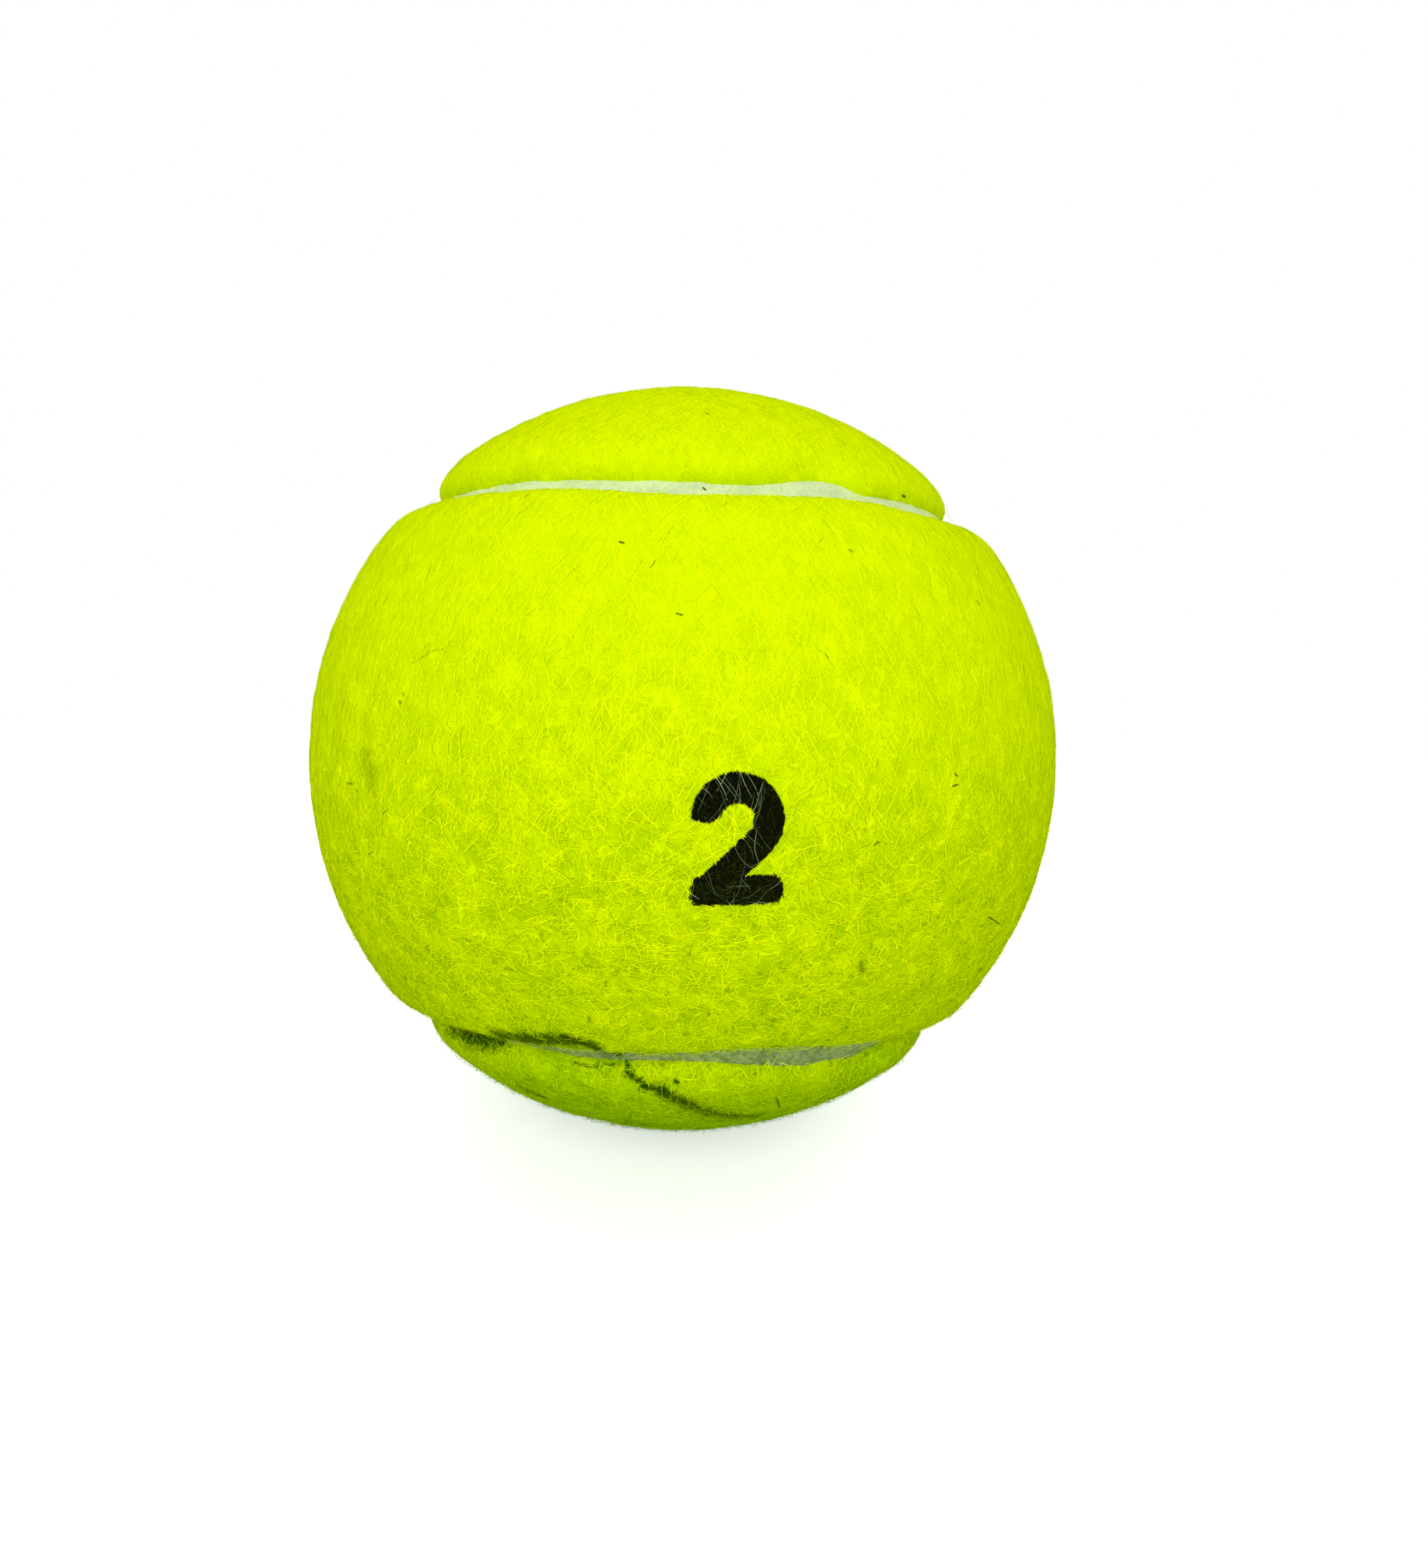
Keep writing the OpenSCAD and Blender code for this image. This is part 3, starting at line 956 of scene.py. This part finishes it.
index = nap.nodes.new("GeometryNodeInputIndex").outputs[0]
here = nap.nodes.new("GeometryNodeInputPosition").outputs[0]
roots = add_node(
    nap,
    "GeometryNodeDistributePointsOnFaces",
    {0: given["Geometry"], "Density": given["Fibres per square metre"], "Seed": given["Seed"]},
)
geometry = stored(roots.outputs[0], "fibre", "INT", index)
copies = add_node(nap, "GeometryNodeDuplicateElements", {0: geometry, "Amount": given["Points"]})
steps = number(nap, "SUBTRACT", given["Points"], 1.0)
share = number(nap, "DIVIDE", copies.outputs["Duplicate Index"], steps)
geometry = stored(copies.outputs[0], "along", "FLOAT", share)
fibre, along = kept("fibre", "INT"), kept("along", "FLOAT")

root = vector(nap, "NORMALIZE", here)
height = parts_of(nap, root)["Z"]
loose = ramp(nap, height, -0.6, 0.1, 1.0, combed)
east = vector(nap, "NORMALIZE", vector(nap, "CROSS_PRODUCT", (0, 0, 1), root))
north = vector(nap, "CROSS_PRODUCT", root, east)
heading = number(nap, "MULTIPLY_ADD", drawn(-math.pi, math.pi, 1), loose, math.pi / 2)
turn = number(nap, "MULTIPLY", drawn(-1.0, 1.0, 2), given["Curl"])
turn = number(nap, "MULTIPLY", turn, loose)
heading = number(nap, "MULTIPLY_ADD", along, turn, heading)
wave = number(nap, "MULTIPLY_ADD", along, drawn(*wave_turns, 3), drawn(0.0, math.tau, 4))
wave = number(nap, "MULTIPLY", number(nap, "SINE", wave), drawn(*wave_swings, 5))
heading = number(nap, "MULTIPLY_ADD", wave, loose, heading)
step = vector(
    nap,
    "ADD",
    scaled(nap, east, number(nap, "COSINE", heading)),
    scaled(nap, north, number(nap, "SINE", heading)),
)
length = number(nap, "MULTIPLY", given["Length"], drawn(*length_shares, 6))
step = scaled(nap, step, number(nap, "DIVIDE", length, steps))
walked = add_node(
    nap, "GeometryNodeAccumulateField", {0: step, "Group Index": fibre}, data_type="FLOAT_VECTOR"
).outputs["Trailing"]
felt = grouped(nap, surface, {"Position": vector(nap, "ADD", here, walked)})
fluff = number(nap, "POWER", drawn(0.0, 1.0, 7), 2.5)
fluff = number(nap, "MULTIPLY", fluff, number(nap, "MULTIPLY", given["Lift"], loose))
arch = number(nap, "SINE", number(nap, "MULTIPLY", along, drawn(*arch_turns, 8)))
rise = number(nap, "SUBTRACT", number(nap, "MULTIPLY", fluff, arch), given["Sink"])
crossing = ramp(nap, height, -0.5, 0.3, most_crossing, least_crossing)
held = number(nap, "GREATER_THAN", drawn(0.0, 1.0, 12), crossing)
dive = ramp(nap, felt["From edge"], dive_low, dive_high, dive_depth, 0.0)
dive = number(nap, "MULTIPLY", dive, held)
bridge = ramp(nap, felt["From edge"], bridge_low, bridge_high, bridge_rise, 0.0)
bridge = number(nap, "MULTIPLY", bridge, number(nap, "SUBTRACT", 1.0, held))
rise = number(nap, "ADD", rise, number(nap, "SUBTRACT", bridge, dive))
radius = number(nap, "ADD", felt["Radius"], rise)
place = scaled(nap, felt["Direction"], radius)

# The fibres shade like the felt under them, because real ones are round and let light by
below = add_node(nap, "GeometryNodeObjectInfo", {"Object": given["Felt"]}).outputs["Geometry"]
below = add_node(
    nap,
    "GeometryNodeSampleNearestSurface",
    {
        "Mesh": below,
        "Value": nap.nodes.new("GeometryNodeInputNormal").outputs[0],
        "Sample Position": scaled(nap, felt["Direction"], felt["Radius"]),
    },
    data_type="FLOAT_VECTOR",
).outputs[0]
below = vector(nap, "NORMALIZE", vector(nap, "ADD", below, felt["Direction"]))
geometry = stored(geometry, "facing", "FLOAT_VECTOR", below)
geometry = add_node(nap, "GeometryNodeSetPosition", {0: geometry, "Position": place}).outputs[0]
curves = add_node(
    nap, "GeometryNodePointsToCurves", {0: geometry, "Curve Group ID": fibre, "Weight": along}
)
facing = kept("facing", "FLOAT_VECTOR")
curves = add_node(
    nap, "GeometryNodeSetCurveNormal", {0: curves.outputs[0], "Normal": facing}, mode="FREE"
)
tilted = {0: curves.outputs[0], "Tilt": drawn(*tilts, 9)}
curves = add_node(nap, "GeometryNodeSetCurveTilt", tilted)
curves = add_node(nap, "GeometryNodeSetCurveRadius", {0: curves.outputs[0], "Radius": 1.0})
geometry = stored(curves.outputs[0], "shade", "FLOAT", drawn(0.0, 1.0, 10))
taper = number(nap, "SINE", number(nap, "MULTIPLY_ADD", along, taper_turn, taper_start))
thick = number(nap, "MULTIPLY", taper, drawn(*width_shares, 11))
one_side, other_side = (
    plane(nap, 0.0, number(nap, "MULTIPLY", given["Width"], side)) for side in (-0.5, 0.5)
)
flat = add_node(nap, "GeometryNodeCurvePrimitiveLine", {"Start": one_side, "End": other_side})
flat = stored(flat.outputs[0], "across", "FLOAT", index)
ribbon = add_node(nap, "GeometryNodeCurveToMesh", {0: geometry, 1: flat, "Scale": thick})

# Each fibre has a cell of its own in the map that its colours are baked to
row = number(nap, "FLOOR", number(nap, "DIVIDE", fibre, given["Columns"]))
column = number(nap, "SUBTRACT", fibre, number(nap, "MULTIPLY", row, given["Columns"]))
cell = {}
for axis, line, part in (("U", column, kept("across", "FLOAT")), ("V", row, along)):
    middle = number(nap, "MULTIPLY_ADD", part, 1.0 - 2 * cell_margin, cell_margin)
    cell[axis] = number(nap, "DIVIDE", number(nap, "ADD", line, middle), given["Columns"])
spot = plane(nap, cell["U"], cell["V"])
geometry = stored(ribbon.outputs[0], "OFBake", "FLOAT2", spot, "CORNER")
softened = {0: geometry, "Custom Normal": facing}
geometry = add_node(nap, "GeometryNodeSetMeshNormal", softened, mode="FREE").outputs[0]
for name in ("fibre", "along", "across", "facing"):
    geometry = add_node(nap, "GeometryNodeRemoveAttribute", {0: geometry, "Name": name}).outputs[0]
finish_tree(nap, geometry, given, out)


def fibre_material(name, deep, light, deep_ink=ink_black, light_ink=ink_black, rarity=1.0):
    """Fibres between two colours, each with its own edge to the stamped ink, and with the
    rarer ones showing light across it."""
    material, tree, shader, place = new_material(name, roughness=1.0, specular=0.0)
    fuzzy(shader)
    shade = add_node(tree, "ShaderNodeAttribute", attribute_name="shade").outputs["Fac"]
    jitter = number(tree, "MULTIPLY", centred(tree, shade), ink_jitter)
    inked = mixed(tree, number(tree, "POWER", shade, rarity), deep_ink, light_ink)
    clinging = ramp(tree, shade, 0.5, 0.95, 1.0, 0.4)
    # Painted light: the fibres lighter and more even on the ball's upper half
    colour = mixed(tree, painted_top_light(tree, place, shade), deep, light)
    colour = soiled(tree, place, colour, inked, jitter, clinging)
    tree.links.new(colour, shader.inputs["Base Color"])
    return material


nap_fibre = fibre_material("nap_fibre", fibre_deep, fibre_light, ink_black, stray_dim, 8.0)
stray_fibre = fibre_material("stray_fibre", fibre_deep, fibre_light, stray_dim, stray_pale, 2.0)
lint = fibre_material("lint", lint_dark, lint_dark)

# Each layer: its name, fibres per square metre, their length, width, sink and lift, the
# points along each, how many pieces the layer is made in, and its material
layers = (
    ("under", 8.4e6, 1.35 * mm, 0.058 * mm, 0.04 * mm, 0.14 * mm, 5, 3, nap_fibre),
    ("over", 5.0e6, 1.7 * mm, 0.046 * mm, 0.0, 0.32 * mm, 5, 2, nap_fibre),
    ("stray", 1.3e6, 2.1 * mm, 0.028 * mm, -0.03 * mm, 0.40 * mm, 6, 1, stray_fibre),
    ("lint", 0.5e4, 0.8 * mm, 0.030 * mm, -0.05 * mm, 0.2 * mm, 6, 1, lint),
)
for half, sheet, bed in (("front", front_sheet, beds[0]), ("rear", rear_sheet, beds[1])):
    for layer, density, length, width, sink, lift, points, parts, material in layers:
        for i in range(parts):
            piece = grown(
                f"nap_{half}_{layer}_{i + 1}",
                sheet,
                nap,
                {
                    "Felt": bed,
                    "Fibres per square metre": density / parts,
                    "Length": length,
                    "Width": width,
                    "Curl": fibre_curl,
                    "Sink": sink,
                    "Lift": lift,
                    "Points": points,
                    "Columns": math.ceil(math.sqrt(density / parts * panel_area)),
                    "Seed": 100 * i + len(layer) + 7 * len(half),
                    "Material": material,
                },
            )
            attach(piece, "root")

bpy.data.objects.remove(front_sheet)
bpy.data.objects.remove(rear_sheet)

# The ball lies on a plain white table in a room of even light. A soft box shines on it
# from above and in front, and a weaker one from behind.
floor_half = 2.0
floor_gap = 0.1 * mm
floor_z = -crown_r - floor_gap
white = (1.0, 1.0, 1.0, 1)
table_grey = (0.45, 0.55, 0.48, 1)
room_light = (0.55, 0.57, 0.57, 1)
near_shadow, far_shadow = 0.8 * crown_r, 3.5 * crown_r
shadow_glow = 0.45
soft_box_w, soft_box_h = 0.45, 0.20

floor_mesh = bpy.data.meshes.new("floor")
square = ((-1, -1), (1, -1), (1, 1), (-1, 1))
corners = [(x * floor_half, y * floor_half, floor_z) for x, y in square]
floor_mesh.from_pydata(corners, [], [(0, 1, 2, 3)])
floor = new_object("floor", floor_mesh)


def seen_directly(tree):
    """A mask of the rays that show a surface, not those that it lights others by."""
    rays = tree.nodes.new("ShaderNodeLightPath").outputs
    seen = number(tree, "MAXIMUM", rays["Is Camera Ray"], rays["Is Glossy Ray"])
    return number(tree, "MAXIMUM", seen, rays["Is Transmission Ray"])


# The table shows white where it is seen and glows there, a painted light that is weaker near the
# ball so its shadow stays; the light it throws back on the ball is grey-green
table, tree, shader, place = new_material("table", roughness=0.9, specular=0.0)
seen = seen_directly(tree)
tree.links.new(mixed(tree, seen, table_grey, white), shader.inputs["Base Color"])
from_ball = vector(tree, "LENGTH", vector(tree, "MULTIPLY", place, (1, 1, 0)))
bright = ramp(tree, from_ball, near_shadow, far_shadow, shadow_glow, 1.0)
bright = number(tree, "MULTIPLY", bright, seen)
tree.links.new(bright, shader.inputs["Emission Strength"])
shader.inputs["Emission Color"].default_value = white
floor_mesh.materials.append(table)

world = bpy.data.worlds.new("Studio")
bpy.context.scene.world = world
world.use_nodes = True
tree = world.node_tree
level = mixed(tree, seen_directly(tree), room_light, white)
tree.links.new(level, tree.nodes["Background"].inputs["Color"])

for name, at, energy in (
    ("Soft box", Vector((-0.022, -0.28, 0.10)), 0.78),
    ("Rear soft box", Vector((0.06, 0.30, 0.08)), 0.62),
):
    soft_box = bpy.data.lights.new(name, "AREA")
    soft_box.shape = "RECTANGLE"
    soft_box.size = soft_box_w
    soft_box.size_y = soft_box_h
    soft_box.energy = energy
    soft_box_object = new_object(name, soft_box)
    soft_box_object.location = at
    soft_box_object.rotation_euler = at.to_track_quat("Z", "Y").to_euler()

bpy.context.scene.view_settings.view_transform = "Standard"
